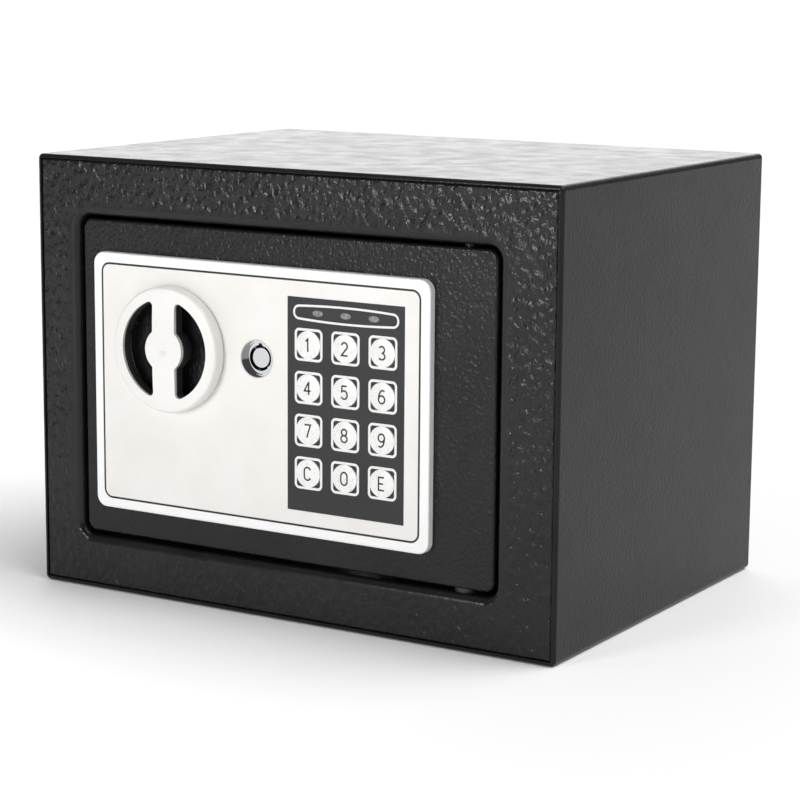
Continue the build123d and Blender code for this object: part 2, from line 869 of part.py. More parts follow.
# Ratchet tooth under the arm: its ramp pushes the plunger down as the bolts go out,
# and its back face stops them.
tooth_x0 = plunger_x + plunger_d / 2 + tooth_side_gap
tooth_x1 = tooth_x0 + tooth_w
with BuildPart() as latch_tooth:
    with BuildSketch(facing(carriage_back)):
        with BuildLine():
            Polyline(
                (tooth_x0, arm_z0),
                (tooth_x1 - tooth_tip_w, tooth_z0),
                (tooth_x1, tooth_z0),
                (tooth_x1, arm_z0),
                close=True,
            )
        make_face()
    extrude(amount=carriage_t)
save(latch_tooth, "latch_tooth")

# Guide bracket: a web with the two bolt bores and a foot on the door's left margin.
with BuildPart() as bolt_guide:
    with BuildSketch(Plane.YZ.offset(guide_x0)):
        with Locations(((door_back + guide_back) / 2, bolt_z)):
            Rectangle(guide_back - door_back, carriage_z1 - carriage_z0 + 2 * guide_lap)
        with Locations(*[(bolt_y, z) for z in bolt_zs]):
            Circle(bolt_d / 2 + run_clear, mode=Mode.SUBTRACT)
    extrude(amount=guide_t)
    with BuildSketch(facing(door_back + guide_t)):
        with Locations((guide_x0 - guide_foot / 2, bolt_z)):
            Rectangle(guide_foot, carriage_z1 - carriage_z0 + 2 * guide_lap)
    extrude(amount=guide_t)
save(bolt_guide, "bolt_guide")

# Shouldered post in the carriage's long slot.
with BuildPart() as guide_post:
    for back, front, diameter in (
        (carriage_front - post_gap, door_back, post_d),
        (carriage_back + post_gap, carriage_front - post_gap, post_neck_d),
        (carriage_back + post_gap + post_head_t, carriage_back + post_gap, post_d),
    ):
        with BuildSketch(facing(back)):
            with Locations((post_x, post_z)):
                Circle(diameter / 2)
        extrude(amount=back - front)
save(guide_post, "guide_post")

# ---------------------------------------------------------------- solenoid latch

# Open frame: a web on the door with a plate above and below the coil.
solenoid_back = bolt_y + coil_d / 2
with BuildPart() as solenoid_frame:
    with BuildSketch(Plane.YZ.offset(plunger_x - solenoid_w / 2)):
        with BuildLine():
            Polyline(
                (solenoid_back, coil_z0),
                (solenoid_back, coil_z0 - solenoid_sheet),
                (door_back, coil_z0 - solenoid_sheet),
                (door_back, coil_z1 + solenoid_sheet),
                (solenoid_back, coil_z1 + solenoid_sheet),
                (solenoid_back, coil_z1),
                (door_back + solenoid_sheet, coil_z1),
                (door_back + solenoid_sheet, coil_z0),
                close=True,
            )
        make_face()
    extrude(amount=solenoid_w)
    with BuildSketch(Plane.XY.offset(coil_z1)):
        with Locations((plunger_x, bolt_y)):
            Circle(plunger_d / 2 + run_clear)
    extrude(amount=solenoid_sheet, mode=Mode.SUBTRACT)
save(solenoid_frame, "solenoid_frame")

with BuildPart() as solenoid_coil:
    with BuildSketch(Plane.XY.offset(coil_z0)):
        with Locations((plunger_x, bolt_y)):
            Circle(coil_d / 2)
            Circle(plunger_d / 2 + run_clear, mode=Mode.SUBTRACT)
    extrude(amount=coil_h)
save(solenoid_coil, "solenoid_coil")

# Plunger: rod, collar for the spring, and the cross pin that the key's cam draws down.
plunger_bottom = coil_z0 + coil_h / 4
with BuildPart() as plunger:
    for z0, z1, diameter in (
        (plunger_bottom, plunger_top, plunger_d),
        (collar_z, collar_z + collar_t, collar_d),
    ):
        with BuildSketch(Plane.XY.offset(z0)):
            with Locations((plunger_x, bolt_y)):
                Circle(diameter / 2)
        extrude(amount=z1 - z0)
    with BuildSketch(facing(cam_back + 1)):
        with Locations((plunger_x, cross_pin_z)):
            Circle(cross_pin_d / 2)
    extrude(amount=cam_back + 1 - bolt_y)
save(plunger, "plunger")

spring_r = plunger_d / 2 + spring_wire
with BuildPart() as plunger_spring:
    with BuildLine():
        coil_path = Helix(
            pitch=(spring_len - 2 * spring_wire) / spring_turns,
            height=spring_len - 2 * spring_wire,
            radius=spring_r,
            center=(plunger_x, bolt_y, spring_z0 + spring_wire),
        )
    with BuildSketch(Plane(origin=coil_path @ 0, z_dir=coil_path % 0)):
        Circle(spring_wire / 2)
    sweep(path=coil_path, is_frenet=True)
save(plunger_spring, "plunger_spring")

# ---------------------------------------------------------------- key lock

with BuildPart() as lock_escutcheon:
    with BuildSketch(facing(facia_front + cup_step_depth)):
        with Locations((lock_x, lock_z)):
            Circle(cup_d / 2)
            Circle(cup_mouth_d / 2, mode=Mode.SUBTRACT)
    extrude(amount=cup_step_depth)
    with BuildSketch(facing(barrel_front)):
        with Locations((lock_x, lock_z)):
            Circle(cup_d / 2)
            Circle(cup_bore_d / 2, mode=Mode.SUBTRACT)
    extrude(amount=barrel_front - facia_front - cup_step_depth)
save(lock_escutcheon, "lock_escutcheon")

with BuildPart() as lock_barrel:
    with BuildSketch(facing(barrel_back)):
        with Locations((lock_x, lock_z)):
            Circle(barrel_d / 2)
            Circle(tail_d / 2 + run_clear, mode=Mode.SUBTRACT)
    extrude(amount=barrel_end_t)
    with BuildSketch(facing(barrel_back - barrel_end_t)):
        with Locations((lock_x, lock_z)):
            Circle(barrel_d / 2)
            Circle(keyway_d / 2, mode=Mode.SUBTRACT)
    extrude(amount=barrel_back - barrel_end_t - door_front)
    with BuildSketch(facing(door_front)):
        with Locations((lock_x, lock_z)):
            Circle(barrel_flange_d / 2)
            Circle(keyway_d / 2, mode=Mode.SUBTRACT)
    extrude(amount=barrel_flange_t)
    with BuildSketch(facing(barrel_front + keyway_depth / 2)):
        with Locations((lock_x, lock_z + keyway_d / 2)):
            Rectangle(key_notch_w, 2 * key_notch_depth)
    extrude(amount=keyway_depth / 2, mode=Mode.SUBTRACT)
save(lock_barrel, "lock_barrel")

with BuildPart() as lock_nut:
    with BuildSketch(facing(door_back + nut_t)):
        with Locations((lock_x, lock_z)):
            RegularPolygon(nut_across / 2, 6, major_radius=False)
            Circle(barrel_d / 2, mode=Mode.SUBTRACT)
    extrude(amount=nut_t)
save(lock_nut, "lock_nut")

# Plug: a post inside the ring-shaped keyway, seven pins, and a tail for the cam.
keyway_floor = barrel_front + keyway_depth
plug_back = barrel_back - barrel_end_t - fit_clear
with BuildPart() as lock_plug:
    for back, front, diameter in (
        (keyway_floor, barrel_front + post_face_recess, post_face_d),
        (plug_back, keyway_floor, keyway_d - 2 * run_clear),
        (cam_back, plug_back, tail_d),
    ):
        with BuildSketch(facing(back)):
            with Locations((lock_x, lock_z)):
                Circle(diameter / 2)
        extrude(amount=back - front)
    with BuildSketch(facing(keyway_floor)):
        with Locations((lock_x, lock_z)):
            with PolarLocations((keyway_d + post_face_d) / 4, lock_pin_count, start_angle=90):
                Circle(lock_pin_d / 2)
    extrude(amount=lock_pin_len)
save(lock_plug, "lock_plug")

# Cam: turned by the key, its edge ends just above the plunger's cross pin when that is drawn down.
pin_reach = math.hypot(plunger_x - lock_x, cross_pin_z - lock_z)
pin_angle = math.degrees(math.atan2(cross_pin_z - lock_z, plunger_x - lock_x)) % 360
cam_edge_gap = cam_w / 2 + cross_pin_d / 2 + cam_clear
cam_turned_angle = pin_angle - math.degrees(math.asin(cam_edge_gap / pin_reach))
cam_angle = cam_turned_angle - 90
cam_len = pin_reach + cam_past_pin
cam_dir = Vector(math.cos(math.radians(cam_angle)), math.sin(math.radians(cam_angle)))
with BuildPart() as lock_cam:
    with BuildSketch(facing(cam_back)):
        with Locations((lock_x, lock_z)):
            with Locations(Location((cam_dir.X * cam_len / 2, cam_dir.Y * cam_len / 2), cam_angle)):
                SlotOverall(cam_len + cam_w, cam_w)
            Circle(tail_d / 2, mode=Mode.SUBTRACT)
    extrude(amount=cam_t)
save(lock_cam, "lock_cam")

# ---------------------------------------------------------------- lock cover

lid_w = bay_w + 2 * lid_side_lap
lid_center = tray_center
lid_h = bay_h + 2 * lid_lap
lid_front = cover_outer + fit_clear
lid_back = lid_front + lid_t
rail_back = lid_back + lid_clear + rail_t
lid_tab_h = lid_travel - lid_clear
lid_tab_zs = [lid_center[1] + side * lid_h / 3 for side in (-1, 1)]
with BuildPart() as lock_cover:
    with BuildSketch(facing(cover_outer)):
        with Locations(cover_center):
            RectangleRounded(cover_w, cover_h, cover_t)
    extrude(amount=cover_outer - door_back)
    with BuildSketch(facing(cover_inner)):
        with Locations(cover_center):
            Rectangle(cover_w - 2 * cover_t, cover_h - 2 * cover_t)
    extrude(amount=cover_inner - door_back, mode=Mode.SUBTRACT)
    with BuildSketch(Plane.YZ.offset(cover_x0)):
        with Locations(*[(bolt_y, z) for z in bolt_zs]):
            Circle(bolt_d / 2 + cover_bolt_clear)
    extrude(amount=cover_t, mode=Mode.SUBTRACT)
    with BuildSketch(facing(cover_outer)):
        with Locations(tray_center):
            Rectangle(bay_w, bay_h)
        with Locations((reset_x, reset_z)):
            Circle(reset_d / 2 + fit_clear)
        with Locations(*cover_corner_points):
            Circle(screw_d / 2 + fit_clear)
    extrude(amount=cover_t, mode=Mode.SUBTRACT)
    # rails either side of the battery lid, with a lip over each of its tabs, and a stop under it
    for side in (-1, 1):
        rail_x = lid_center[0] + side * (lid_w / 2 + lid_clear + rail_t / 2)
        lip_x = rail_x - side * rail_lip / 2
        with BuildSketch(facing(rail_back)):
            with Locations((rail_x, lid_center[1])):
                Rectangle(rail_t, lid_h)
        extrude(amount=rail_back - cover_outer)
        with BuildSketch(facing(rail_back)):
            with Locations(*[(lip_x, z) for z in lid_tab_zs]):
                Rectangle(rail_t + rail_lip, lid_tab_h)
        extrude(amount=rail_t)
    with BuildSketch(facing(lid_back)):
        with Locations((lid_center[0], lid_center[1] - lid_h / 2 - rail_t / 2 - fit_clear)):
            Rectangle(lid_w, rail_t)
    extrude(amount=lid_back - cover_outer)
save(lock_cover, "lock_cover")

# Battery lid: once it has slid up past the lips, its tabs are free and it lifts off.
lid_plate_w = lid_w - 2 * rail_lip
with BuildPart() as battery_cover:
    with BuildSketch(facing(lid_back)):
        with Locations(lid_center):
            Rectangle(lid_plate_w, lid_h)
        with Locations(*[(lid_center[0], z) for z in lid_tab_zs]):
            Rectangle(lid_w, lid_tab_h)
    extrude(amount=lid_t)
    with BuildSketch(facing(rail_back)):
        with Locations((lid_center[0], lid_center[1] - lid_h / 3)):
            with GridLocations(0, 2 * rail_t, 1, 4):
                Rectangle(lid_w / 3, rail_t)
    extrude(amount=rail_back - lid_back)
save(battery_cover, "battery_cover")

with BuildPart() as cover_posts:
    with BuildSketch(facing(cover_inner)):
        with Locations(*cover_corner_points):
            Circle(cover_post_d / 2)
    extrude(amount=cover_inner - door_back)
    with BuildSketch(facing(cover_inner)):
        with Locations(*cover_corner_points):
            Circle(screw_d / 2)
    extrude(amount=screw_len, mode=Mode.SUBTRACT)
save(cover_posts, "cover_posts")

with BuildPart() as cover_screws:
    with BuildSketch(facing(cover_outer + screw_head_t)):
        with Locations(*cover_corner_points):
            Circle(screw_head_d / 2)
    extrude(amount=screw_head_t)
    with BuildSketch(facing(cover_outer)):
        with Locations(*cover_corner_points):
            Circle(screw_d / 2)
    extrude(amount=screw_len)
    with BuildSketch(facing(cover_outer + screw_head_t)):
        with Locations(*cover_corner_points):
            Rectangle(screw_head_d * 0.6, screw_head_t / 2)
            Rectangle(screw_head_t / 2, screw_head_d * 0.6)
    extrude(amount=screw_head_t / 2, mode=Mode.SUBTRACT)
save(cover_screws, "cover_screws")

# ---------------------------------------------------------------- batteries and board

with BuildPart() as battery_tray:
    with BuildSketch(facing(cover_inner)):
        with Locations(tray_center):
            Rectangle(bay_w + 2 * tray_t, bay_h + 2 * tray_t)
    extrude(amount=cover_inner - tray_front)
    with BuildSketch(facing(cover_inner)):
        with Locations(tray_center):
            Rectangle(bay_w, bay_h)
    extrude(amount=cover_inner - tray_front - tray_t, mode=Mode.SUBTRACT)
save(battery_tray, "battery_tray")

cell_xs = [tray_center[0] + (i - (cell_count - 1) / 2) * cell_pitch for i in range(cell_count)]
cell_low_z = tray_center[1] - cell_len / 2
with BuildPart() as batteries:
    for i, x in enumerate(cell_xs):
        nub_up = i % 2 == 0
        body_z = cell_low_z if nub_up else cell_low_z + nub_len
        nub_z = cell_low_z + cell_len - nub_len if nub_up else cell_low_z
        for z, length, diameter in ((body_z, cell_len - nub_len, cell_d), (nub_z, nub_len, nub_d)):
            with BuildSketch(Plane.XY.offset(z)):
                with Locations((x, cell_y)):
                    Circle(diameter / 2)
            extrude(amount=length)
save(batteries, "batteries")

with BuildPart() as battery_contacts:
    for z in (cell_low_z - contact_t, cell_low_z + cell_len):
        with BuildSketch(Plane.XY.offset(z)):
            with Locations(*[(x, cell_y) for x in cell_xs]):
                Circle(contact_d / 2)
        extrude(amount=contact_t)
save(battery_contacts, "battery_contacts")

with BuildPart() as board_standoffs:
    with BuildSketch(facing(control_front)):
        with Locations(*standoff_points):
            Circle(standoff_d / 2)
    extrude(amount=control_stand_off)
save(board_standoffs, "board_standoffs")

with BuildPart() as control_board:
    with BuildSketch(facing(control_back)):
        with Locations((control_x, control_z)):
            Rectangle(control_w, control_h)
    extrude(amount=control_t)
save(control_board, "control_board")

# Buzzer, chip, capacitor and reset switch, soldered on the board's back face.
chip_w = control_w / 5
part_top = control_back + switch_h
with BuildPart() as board_parts:
    with BuildSketch(facing(part_top)):
        with Locations((control_x - chip_w, control_z + chip_w)):
            Circle(chip_w / 2)
        with Locations((control_x, control_z - chip_w)):
            Rectangle(chip_w, 1.5 * chip_w)
        with Locations((control_x + chip_w, control_z - chip_w)):
            Circle(chip_w / 4)
    extrude(amount=switch_h)
    with BuildSketch(facing(switch_back)):
        with Locations((reset_x, reset_z)):
            Rectangle(switch_w, switch_w)
    extrude(amount=switch_h)
    with BuildSketch(facing(switch_back + switch_nub_h)):
        with Locations((reset_x, reset_z)):
            Circle(switch_w / 4)
    extrude(amount=switch_nub_h)
save(board_parts, "board_parts")

reset_flange_back = cover_inner - fit_clear
with BuildPart() as reset_button:
    for back, front, diameter in (
        (cover_outer + reset_proud, reset_flange_back, reset_d),
        (reset_flange_back, reset_flange_back - 1, reset_flange_d),
        (reset_flange_back - 1, switch_back + switch_nub_h + reset_travel + fit_clear, reset_stem_d),
    ):
        with BuildSketch(facing(back)):
            with Locations((reset_x, reset_z)):
                Circle(diameter / 2)
        extrude(amount=back - front)
save(reset_button, "reset_button")

# Leads: a pair from the coil to the board, a pair from the battery tray to the board.
lead_gap_y = (control_back + tray_front) / 2
coil_side_x = plunger_x + coil_d / 2
lead_turn_x = (coil_side_x + tray_x0) / 2
board_left = control_x - control_w / 2
lead_z = coil_z0 + coil_h / 2
lead_land_x = board_left + standoff_d
lead_up = 7.0
with BuildPart() as inner_leads:
    for i in (0, 1):
        with BuildLine() as coil_lead:
            FilletPolyline(
                (coil_side_x, bolt_y, lead_z + i * lead_pitch),
                (lead_turn_x, bolt_y, lead_z + i * lead_pitch),
                (lead_turn_x, lead_gap_y, lead_z + i * lead_pitch),
                (lead_land_x, lead_gap_y, lead_z + i * lead_pitch),
                (lead_land_x, control_back, lead_z + i * lead_pitch),
                radius=lead_d,
            )
        with BuildSketch(Plane.YZ.offset(coil_side_x)):
            with Locations((bolt_y, lead_z + i * lead_pitch)):
                Circle(lead_d / 2)
        sweep(path=coil_lead.wire())
        with BuildLine() as battery_lead:
            FilletPolyline(
                (lead_land_x + i * lead_pitch, cell_y, tray_z1),
                (lead_land_x + i * lead_pitch, cell_y, tray_z1 + lead_up),
                (lead_land_x + i * lead_pitch, control_back, tray_z1 + lead_up),
                radius=lead_up / 2,
            )
        with BuildSketch(Plane.XY.offset(tray_z1)):
            with Locations((lead_land_x + i * lead_pitch, cell_y)):
                Circle(lead_d / 2)
        sweep(path=battery_lead.wire())
save(inner_leads, "inner_leads")
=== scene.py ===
"""Looks for the small electronic safe: powder-coated steel, silver facia, printed keypad and chrome lock.

Metres, in the CAD frame: X to the right seen from the front, Y to the back, Z up.
"""

import json
import math

import bmesh
import bpy
from mathutils import Matrix, Vector


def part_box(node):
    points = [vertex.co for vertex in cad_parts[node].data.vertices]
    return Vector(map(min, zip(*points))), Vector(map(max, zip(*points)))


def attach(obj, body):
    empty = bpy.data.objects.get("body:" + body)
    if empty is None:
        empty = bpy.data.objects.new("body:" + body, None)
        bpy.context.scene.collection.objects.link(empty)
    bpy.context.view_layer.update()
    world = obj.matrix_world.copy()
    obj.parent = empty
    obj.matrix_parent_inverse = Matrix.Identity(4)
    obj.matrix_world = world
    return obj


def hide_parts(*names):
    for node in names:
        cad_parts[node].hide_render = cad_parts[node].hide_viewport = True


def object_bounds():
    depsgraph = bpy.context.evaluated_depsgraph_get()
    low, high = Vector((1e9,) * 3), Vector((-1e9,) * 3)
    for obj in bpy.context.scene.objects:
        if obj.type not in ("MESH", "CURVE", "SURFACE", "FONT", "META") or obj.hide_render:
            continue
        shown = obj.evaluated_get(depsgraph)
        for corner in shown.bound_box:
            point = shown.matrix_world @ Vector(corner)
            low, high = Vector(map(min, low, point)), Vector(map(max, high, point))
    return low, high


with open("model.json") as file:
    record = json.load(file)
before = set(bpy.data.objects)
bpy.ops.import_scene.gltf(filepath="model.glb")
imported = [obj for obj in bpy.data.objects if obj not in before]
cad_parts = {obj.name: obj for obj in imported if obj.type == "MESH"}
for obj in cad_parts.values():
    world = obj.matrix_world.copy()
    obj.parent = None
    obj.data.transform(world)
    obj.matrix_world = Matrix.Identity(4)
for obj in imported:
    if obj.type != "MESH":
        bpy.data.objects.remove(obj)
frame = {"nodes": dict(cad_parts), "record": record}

cad_low, cad_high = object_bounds()
record = frame["record"]
MM = 0.001

# ---------------------------------------------------------------- driving dimensions

# camera
camera_place = (0.499585, -0.822415, 0.247152)
camera_azimuth = 31.339
camera_down = 10.350
camera_roll = 0.440
camera_lens = 109.98
camera_sensor = 36.0

# facia border line
line_inset = 3.75 * MM
line_w = 0.8 * MM
line_r = 4.0 * MM
line_below = 0.02 * MM
line_deep = 0.28 * MM

# keypad print
print_proud = 0.06 * MM
print_sunk = 0.05 * MM
key_frame_w = 12.15 * MM
key_frame_r = 2.0 * MM
key_frame_line = 0.95 * MM
window_w = 45.5 * MM
window_end_h = 5.2 * MM
window_bulge = 0.8 * MM
window_r = 2.4 * MM
window_line = 0.8 * MM

# key figures
figure_half_w = 1.35 * MM
figure_half_h = 2.4 * MM
figure_stroke = 0.6 * MM
figure_proud = 0.04 * MM
figure_step = 0.4 * MM
key_crown = 0.4 * MM
sharpest_mitre = 0.55

# smooth band of coat round the door opening
smooth_w = 5.5 * MM
smooth_corner_r = 12.5 * MM
smooth_fade = 3.0 * MM

# felt mat
mat_edge = 0.5 * MM
mat_corner_r = 2.0 * MM
mat_hole_r = 12.0 * MM

# light
room_light = 0.22
backdrop_light = 1.85
backdrop_toward = (-0.6, 0.8, 0.1)
backdrop_inner = 25.0
backdrop_outer = 48.0
sky_power = 2.7
sky_spread = 60.0
sky_toward = (-0.5, -0.15, -0.85)
front_box_place = (-0.23, -0.95, 0.30)
front_box_size = (0.26, 0.26)
front_box_power = 3.3

# floor
floor_half = 30.0
floor_drop = 0.2 * MM

# ---------------------------------------------------------------- nodes and materials


class Look:
    """A material with its shader and short calls for the texture nodes that feed it."""

    def __init__(self, name, color, roughness, metallic=0.0, ior=1.45, coat=0.0, sheen=0.0):
        self.material = bpy.data.materials.new(name)
        self.material.use_nodes = True
        self.tree = self.material.node_tree
        self.shader = self.tree.nodes["Principled BSDF"]
        self.place = self.tree.nodes.new("ShaderNodeTexCoord").outputs["Object"]
        self.set("Base Color", (*color, 1.0))
        self.set("Roughness", roughness)
        self.set("Metallic", metallic)
        self.set("IOR", ior)
        self.set("Coat Weight", coat)
        self.set("Coat Roughness", roughness)
        self.set("Sheen Weight", sheen)

    def set(self, socket, value):
        self.shader.inputs[socket].default_value = value

    def link(self, output, target):
        self.tree.links.new(output, target)

    def stretched(self, scale):
        """The object's coordinates, scaled by three numbers."""
        node = self.tree.nodes.new("ShaderNodeMapping")
        node.inputs["Scale"].default_value = scale
        self.link(self.place, node.inputs["Vector"])
        return node.outputs["Vector"]

    def noise(self, scale, detail=2.0, distortion=0.0, place=None):
        node = self.tree.nodes.new("ShaderNodeTexNoise")
        node.inputs["Scale"].default_value = scale
        node.inputs["Detail"].default_value = detail
        node.inputs["Distortion"].default_value = distortion
        self.link(place or self.place, node.inputs["Vector"])
        return node.outputs["Fac"]

    def cells(self, scale, place):
        node = self.tree.nodes.new("ShaderNodeTexVoronoi")
        node.feature = "SMOOTH_F1"
        node.inputs["Scale"].default_value = scale
        node.inputs["Smoothness"].default_value = 0.6
        self.link(place, node.inputs["Vector"])
        return node.outputs["Distance"]

    def bands(self, scale, direction):
        node = self.tree.nodes.new("ShaderNodeTexWave")
        node.bands_direction = direction
        node.inputs["Scale"].default_value = scale
        self.link(self.place, node.inputs["Vector"])
        return node.outputs["Fac"]

    def math(self, operation, first, second):
        node = self.tree.nodes.new("ShaderNodeMath")
        node.operation = operation
        for value, socket in ((first, node.inputs[0]), (second, node.inputs[1])):
            if isinstance(value, (int, float)):
                socket.default_value = value
            else:
                self.link(value, socket)
        return node.outputs["Value"]

    def spread(self, factor, low, high, from_low=0.3, from_high=0.7):
        """A number that follows the factor between two ends."""
        node = self.tree.nodes.new("ShaderNodeMapRange")
        node.inputs["From Min"].default_value = from_low
        node.inputs["From Max"].default_value = from_high
        node.inputs["To Min"].default_value = low
        node.inputs["To Max"].default_value = high
        self.link(factor, node.inputs["Value"])
        return node.outputs["Result"]

    def shade(self, factor, low, high, from_low=0.3, from_high=0.7):
        """A colour that follows the factor between two colours."""
        node = self.tree.nodes.new("ShaderNodeValToRGB")
        node.color_ramp.elements[0].position = from_low
        node.color_ramp.elements[1].position = from_high
        node.color_ramp.elements[0].color = (*low, 1.0)
        node.color_ramp.elements[1].color = (*high, 1.0)
        self.link(factor, node.inputs["Fac"])
        return node.outputs["Color"]

    def inside(self, node, center, width, height, radius, fade):
        """One inside an upright rounded rectangle of the row frame, fading to nothing at its edge."""
        center = node.matrix_world.inverted() @ center
        parts = self.tree.nodes.new("ShaderNodeSeparateXYZ")
        self.link(self.place, parts.inputs["Vector"])
        squares = []
        for axis, middle, reach in (("X", center.x, width / 2), ("Z", center.z, height / 2)):
            away = self.math("ABSOLUTE", self.math("SUBTRACT", parts.outputs[axis], middle), 0.0)
            past = self.math("MAXIMUM", self.math("SUBTRACT", away, reach - radius), 0.0)
            squares.append(self.math("MULTIPLY", past, past))
        away = self.math("POWER", self.math("ADD", *squares), 0.5)
        return self.spread(away, 1.0, 0.0, radius - fade / 2, radius + fade / 2)

    def color(self, output):
        self.link(output, self.shader.inputs["Base Color"])

    def roughness(self, output):
        self.link(output, self.shader.inputs["Roughness"])

    def relief(self, height, depth, strength=1.0):
        """Bump of a given depth in metres; gives back its strength, for a relief that varies."""
        node = self.tree.nodes.new("ShaderNodeBump")
        node.inputs["Distance"].default_value = depth
        node.inputs["Strength"].default_value = strength
        self.link(height, node.inputs["Height"])
        self.link(node.outputs["Normal"], self.shader.inputs["Normal"])
        self.link(node.outputs["Normal"], self.shader.inputs["Coat Normal"])
        return node.inputs["Strength"]


def powder_coat(name, color, ior, grain, depth, tall=1.0, smooth=None):
    """Black powder coat with a leathery grain of soft bumps, taller than wide where asked."""
    look = Look(name, color, 0.22, ior=ior)
    place = look.stretched((1.0, 1.0, 1.0 / tall))
    wrinkle = look.noise(grain, detail=2.5, distortion=0.5, place=place)
    bumps = look.cells(grain * 0.9, place=place)
    height = look.math("ADD", look.math("MULTIPLY", wrinkle, 0.8), look.math("MULTIPLY", bumps, 0.6))
    strength = look.relief(height, depth)
    if smooth:
        look.link(look.spread(look.inside(*smooth), 1.0, 0.12, 0.0, 1.0), strength)
    look.roughness(look.spread(look.noise(90.0, detail=4.0), 0.18, 0.27))
    darker = tuple(0.8 * c for c in color)
    lighter = tuple(1.25 * c for c in color)
    look.color(look.shade(look.noise(35.0, detail=5.0), darker, lighter))
    return look


def silver_paint(name, color, warm):
    """Fine silver paint on moulded plastic."""
    look = Look(name, color, 0.42, metallic=0.15, ior=1.45)
    look.color(look.shade(look.noise(60.0, detail=3.0), warm, color))
    look.relief(look.noise(9000.0, detail=1.0), 0.004 * MM, 0.6)
    look.roughness(look.spread(look.noise(140.0, detail=3.0), 0.36, 0.48))
    return look


def facia_paint(name, border, face, warm, field):
    """The facia's silver paint: bright round the border line, slightly warmer inside it."""
    look = silver_paint(name, face, warm)
    inner = look.shader.inputs["Base Color"].links[0].from_socket
    mix = look.tree.nodes.new("ShaderNodeMix")
    mix.data_type = "RGBA"
    mix.inputs["A"].default_value = (*border, 1.0)
    look.link(look.inside(*field), mix.inputs["Factor"])
    look.link(inner, mix.inputs["B"])
    look.color(mix.outputs["Result"])
    return look


def key_paint(name):
    """Satin silver of the key caps, faintly rubbed in places."""
    look = Look(name, (0.80, 0.80, 0.78), 0.3, metallic=0.1, coat=0.2)
    look.color(look.shade(look.noise(420.0, detail=3.0), (0.82, 0.82, 0.80), (0.90, 0.90, 0.88)))
    look.roughness(look.spread(look.noise(900.0, detail=2.0), 0.24, 0.38))
    return look


def chrome(name):
    look = Look(name, (0.46, 0.46, 0.47), 0.05, metallic=1.0)
    look.roughness(look.spread(look.noise(700.0, detail=4.0), 0.03, 0.08))
    look.relief(look.noise(2500.0, detail=2.0), 0.001 * MM, 0.4)
    return look


def nickel(name):
    """Bright plate over turned bar, with faint rings from the lathe."""
    look = Look(name, (0.72, 0.71, 0.69), 0.2, metallic=1.0)
    look.roughness(look.spread(look.noise(220.0, detail=5.0), 0.14, 0.30))
    look.relief(look.bands(900.0, "X"), 0.004 * MM, 0.5)
    return look


def zinc(name):
    """Zinc-plated sheet with a faint blue and yellow cast."""
    look = Look(name, (0.55, 0.55, 0.54), 0.35, metallic=1.0)
    look.color(look.shade(look.noise(110.0, detail=5.0), (0.50, 0.52, 0.56), (0.64, 0.62, 0.52)))
    look.roughness(look.spread(look.noise(260.0, detail=6.0), 0.24, 0.46))
    look.relief(look.noise(1800.0, detail=3.0), 0.006 * MM, 0.6)
    return look


def moulded(name, color, roughness=0.45):
    """Satin moulded plastic with a fine spark-eroded texture."""
    look = Look(name, color, roughness)
    darker = tuple(0.75 * c for c in color)
    look.color(look.shade(look.noise(80.0, detail=4.0), darker, color))
    look.roughness(look.spread(look.noise(200.0, detail=3.0), roughness - 0.06, roughness + 0.08))
    look.relief(look.noise(3500.0, detail=2.0), 0.012 * MM, 0.7)
    return look


def keypad_film(name):
    """Dark printed film, smooth and a little glossy."""
    look = Look(name, (0.026, 0.026, 0.027), 0.36, ior=1.38)
    look.color(look.shade(look.noise(50.0, detail=3.0), (0.023, 0.023, 0.024), (0.031, 0.031, 0.032)))
    look.relief(look.noise(2600.0, detail=2.0), 0.004 * MM, 0.6)
    return look


def lens(name):
    """Milky unlit lamp lens, its tone uneven in fine flecks."""
    look = Look(name, (0.22, 0.22, 0.22), 0.22, coat=0.5)
    look.color(look.shade(look.noise(650.0, detail=2.0), (0.13, 0.13, 0.13), (0.30, 0.30, 0.30)))
    return look


def ink(name, color, roughness=0.4):
    """Screen-printed ink with slightly uneven cover."""
    look = Look(name, color, roughness)
    thin = tuple(0.88 * c for c in color)
    look.color(look.shade(look.noise(1500.0, detail=3.0), thin, color))
    look.relief(look.noise(5000.0, detail=1.0), 0.004 * MM, 0.5)
    return look


def laminate(name):
    """Green circuit board with faint copper tracks under the mask."""
    look = Look(name, (0.03, 0.16, 0.07), 0.3, coat=0.4)
    tracks = look.math("MULTIPLY", look.bands(260.0, "X"), look.bands(190.0, "Z"))
    look.color(look.shade(tracks, (0.02, 0.11, 0.05), (0.05, 0.24, 0.11), 0.45, 0.55))
    look.relief(tracks, 0.02 * MM, 0.6)
    return look


def ribbon(name):
    """Flat flexible lead with its conductors showing as stripes."""
    look = Look(name, (0.75, 0.75, 0.72), 0.35)
    stripes = look.bands(250.0, "X")
    look.color(look.shade(stripes, (0.45, 0.42, 0.36), (0.82, 0.82, 0.80), 0.35, 0.5))
    look.relief(stripes, 0.03 * MM, 0.6)
    return look


def winding(name):
    """Enamelled copper wire, turn over turn, darker in the grooves between turns as painted shade."""
    look = Look(name, (0.45, 0.16, 0.05), 0.28, metallic=0.7)
    turns_and_shade = look.bands(640.0, "Z")
    # painted shade: the colour follows the turn ridges, darkest in the grooves between turns where shade
    # falls
    look.color(look.shade(turns_and_shade, (0.22, 0.06, 0.02), (0.62, 0.25, 0.09), 0.2, 0.8))
    look.relief(turns_and_shade, 0.12 * MM, 0.9)
    return look


